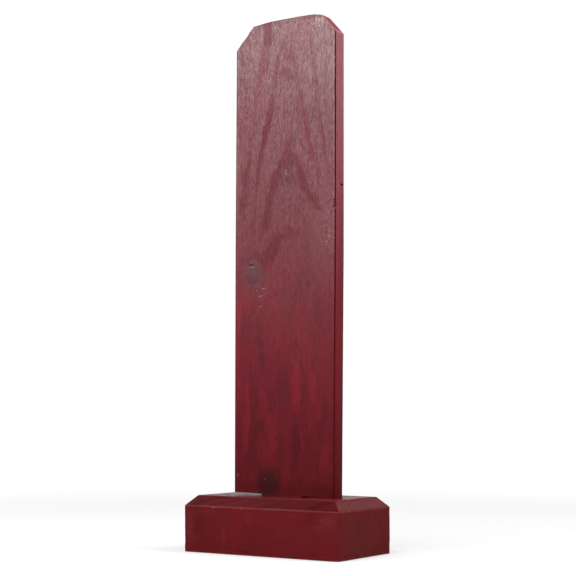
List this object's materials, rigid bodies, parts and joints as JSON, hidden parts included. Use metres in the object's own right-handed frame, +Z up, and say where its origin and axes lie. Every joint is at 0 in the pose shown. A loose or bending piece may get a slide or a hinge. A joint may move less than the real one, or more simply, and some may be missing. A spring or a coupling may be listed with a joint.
{
  "type": "ancestor tablet",
  "caption": "Upright wooden tablet with cut-off top corners, whose tenon lifts out of a bevelled rectangular base block.",
  "frame": {"origin": "middle of the base block's underside, on the surface that the tablet stands on", "axes": "+Z up along the board, -Y the way the tablet faces, +X to the right of someone who looks at its face from the front"},
  "size_m": [0.15, 0.083, 0.4489],
  "materials": {
    "red_stained_base": "worn satin red lacquer over wood",
    "red_stained_board": "satin red lacquer with the grain showing through"
  },
  "bodies": {
    "base": {"base_block": "red_stained_base"},
    "tablet": {"tablet_board": "red_stained_board"}
  },
  "joints": [
    {"name": "tablet_lift", "type": "slide", "parent": "base", "child": "tablet", "axis": [0, 0, 1], "range_m": [0, 0.06]}
  ]
}
